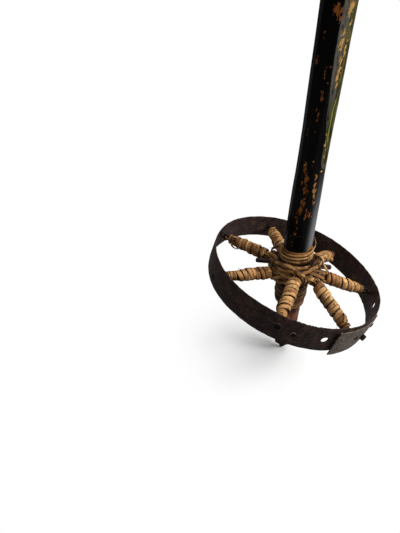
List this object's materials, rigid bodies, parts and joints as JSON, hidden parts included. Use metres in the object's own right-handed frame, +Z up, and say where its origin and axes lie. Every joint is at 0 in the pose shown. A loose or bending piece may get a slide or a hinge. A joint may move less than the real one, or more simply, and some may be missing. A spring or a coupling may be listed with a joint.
{
  "type": "ski pole",
  "caption": "Antique wooden ski pole: painted shaft with a leaning iron ring basket on cane-wound spokes, iron spike, leather grip and wrist strap.",
  "frame": {"origin": "tip of the ground spike, on the shaft's axis", "axes": "+Z up along the shaft to the grip; +X to the right of someone who sees the strap hang towards them; -Y towards them"},
  "size_m": [0.1686, 0.169, 1.3],
  "materials": {
    "painted_wood": "chipped black paint over wood, semi-gloss",
    "spike_iron": "dark, worn bright at the tip",
    "pin_iron": "dark oxidised",
    "rivet_iron": "dark oxidised",
    "ring_iron": "dark brown rusted strap iron",
    "plate_iron": "worn grey-brown iron",
    "cane": "split cane, worn",
    "dark_cane": "split cane, stained dark",
    "cane_core": "bundled cane, dark",
    "grip_cane": "split cane, varnished",
    "grip_leather": "waxed, worn",
    "strap_leather": "dry, worn",
    "rivet_brass": "tarnished"
  },
  "bodies": {
    "shaft_body": {"shaft": "painted_wood", "ground_spike": "spike_iron", "basket_pin": "pin_iron", "shaft_whipping": "dark_cane", "collar_whipping": "cane", "grip_sleeve": "grip_leather", "grip_whipping_low": "grip_cane", "grip_whipping_top": "grip_cane", "strap_pin": "pin_iron", "strap_washers": "pin_iron"},
    "basket_body": {"ring_band": "ring_iron", "lap_plate": "plate_iron", "plate_rivets": "rivet_iron", "plug_rivet": "rivet_iron", "hub_windings": "cane", "hub_lashing": "cane", "spoke_core_1": "cane_core", "spoke_winding_1": "cane", "ring_eye_1": "rivet_iron", "spoke_core_2": "cane_core", "spoke_winding_2": "cane", "ring_eye_2": "rivet_iron", "spoke_core_3": "cane_core", "spoke_winding_3": "cane", "ring_eye_3": "rivet_iron", "spoke_core_4": "cane_core", "spoke_winding_4": "cane", "ring_eye_4": "rivet_iron", "spoke_core_5": "cane_core", "spoke_winding_5": "cane", "ring_eye_5": "rivet_iron", "spoke_core_6": "cane_core", "spoke_winding_6": "cane", "ring_eye_6": "rivet_iron", "spoke_core_7": "cane_core", "spoke_winding_7": "cane", "ring_eye_7": "rivet_iron"},
    "strap_body": {"wrist_strap": "strap_leather", "strap_rivet": "rivet_brass"}
  },
  "joints": [
    {"name": "basket_rock", "type": "hinge", "parent": "shaft_body", "child": "basket_body", "pos_m": [0, 0, 0.1172], "axis": [0.9836, -0.1805, 0], "range_deg": [-6, 6], "stiffness_Nm_per_rad": 0.5},
    {"name": "strap_swing", "type": "hinge", "parent": "shaft_body", "child": "strap_body", "pos_m": [0, 0, 1.272], "axis": [-1, 0, 0], "range_deg": [0, 342]}
  ]
}
